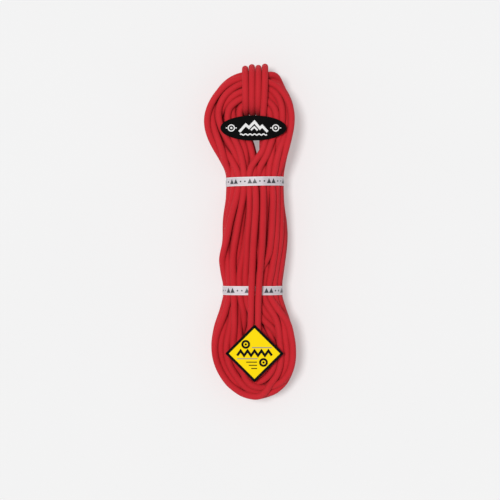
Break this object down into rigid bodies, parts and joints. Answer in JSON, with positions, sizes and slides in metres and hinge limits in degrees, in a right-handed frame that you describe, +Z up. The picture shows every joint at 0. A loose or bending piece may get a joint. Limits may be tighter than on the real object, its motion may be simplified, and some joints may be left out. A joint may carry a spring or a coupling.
{
  "type": "dynamic climbing rope",
  "caption": "Single-colour dynamic climbing rope made up as a long banded hank, with wrapped head, two free ends and two lift-up card labels.",
  "frame": {"origin": "on the ground under the middle of the box round the whole hank", "axes": "+Z up out of the front of the hank as it lies on its back, +Y along the hank towards its wrapped head, +X to the right as seen from the front"},
  "size_m": [0.142, 0.525, 0.0825],
  "materials": {
    "rope_sheath": "matt braided polyamide sheath, single red colour",
    "rope_core": "white twisted polyamide yarns",
    "marker_tape": "thin coloured identification tape",
    "end_sleeve": "shrunk plastic sleeve, satin",
    "end_tip": "melted fibre, hard and slightly glossy",
    "packing_tape": "pale lilac-grey packing tape, satin",
    "oval_card": "coated card, glossy black",
    "diamond_card": "coated card, yellow with a black border",
    "label_tape": "matt paper tape"
  },
  "bodies": {
    "hank": {"hank": "rope_sheath", "wrap_coil": "rope_sheath", "front_strand_left": "rope_sheath", "front_strand_right": "rope_sheath", "end_sheath_left": "rope_sheath", "end_sheath_right": "rope_sheath", "end_core_left": "rope_core", "end_core_right": "rope_core", "marker_tape_left": "marker_tape", "marker_tape_right": "marker_tape", "end_sleeve_left": "end_sleeve", "end_sleeve_right": "end_sleeve", "end_tip_left": "end_tip", "end_tip_right": "end_tip", "band_upper": "packing_tape", "band_lower": "packing_tape", "oval_tape_left": "label_tape", "oval_tape_right": "label_tape", "diamond_tape": "label_tape"},
    "oval_label": {"oval_card": "oval_card"},
    "diamond_label": {"diamond_card": "diamond_card"}
  },
  "joints": [
    {"name": "oval_label_lift", "type": "hinge", "parent": "hank", "child": "oval_label", "pos_m": [0.005, 0.1786, 0.0712], "axis": [-1, 0, 0], "range_deg": [0, 120]},
    {"name": "diamond_label_lift", "type": "hinge", "parent": "hank", "child": "diamond_label", "pos_m": [0.0066, -0.147, 0.0758], "axis": [-1, 0, 0], "range_deg": [0, 120]}
  ]
}
